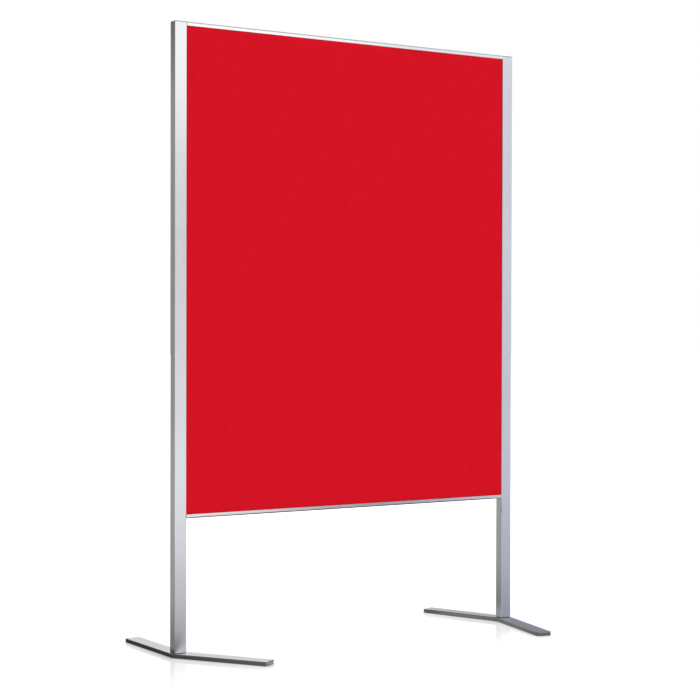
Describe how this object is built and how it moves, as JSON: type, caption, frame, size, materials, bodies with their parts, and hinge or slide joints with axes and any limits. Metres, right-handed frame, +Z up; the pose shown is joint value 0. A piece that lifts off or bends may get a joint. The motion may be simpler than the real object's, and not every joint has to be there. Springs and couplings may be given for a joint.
{
  "type": "pinboard",
  "caption": "Free-standing pinboard: felt-covered board hung between tube posts, each on a V-shaped flat-bar foot that swivels about its bolt.",
  "frame": {"origin": "on the floor, under the middle of the board", "axes": "+Z up, +X to the right along the board as seen from the front, front towards -Y"},
  "size_m": [1.2937, 0.6224, 1.92],
  "materials": {
    "post": "satin",
    "rail": "satin",
    "cap": "matte",
    "felt": "matte",
    "core": "matte",
    "batten": "matte",
    "plug": "matte",
    "washer": "matte",
    "foot": "satin",
    "glide": "matte",
    "zinc_steel": "satin",
    "dark_steel": "satin",
    "rivet_aluminium": "satin"
  },
  "bodies": {
    "stand": {"left_post": "post", "right_post": "post", "left_post_cap": "cap", "right_post_cap": "cap", "top_rail": "rail", "bottom_rail": "rail", "core_board": "core", "left_batten": "batten", "right_batten": "batten", "front_felt": "felt", "back_felt": "felt", "rail_screws": "zinc_steel", "keyhole_plates": "zinc_steel", "plate_screws": "zinc_steel", "post_studs": "dark_steel", "rivet_nuts": "rivet_aluminium", "left_foot_plug": "plug", "right_foot_plug": "plug", "left_foot_nut": "zinc_steel", "right_foot_nut": "zinc_steel", "left_foot_bolt": "dark_steel", "right_foot_bolt": "dark_steel", "left_friction_washer": "washer", "right_friction_washer": "washer"},
    "left_foot_body": {"left_foot": "foot", "left_foot_glides": "glide"},
    "right_foot_body": {"right_foot": "foot", "right_foot_glides": "glide"}
  },
  "joints": [
    {"name": "left_foot_swivel", "type": "hinge", "parent": "stand", "child": "left_foot_body", "pos_m": [-0.62, 0, 0.007], "axis": [0, 0, 1], "range_deg": [-107, 73]},
    {"name": "right_foot_swivel", "type": "hinge", "parent": "stand", "child": "right_foot_body", "pos_m": [0.62, 0, 0.007], "axis": [0, 0, 1], "range_deg": [-94, 86]}
  ]
}
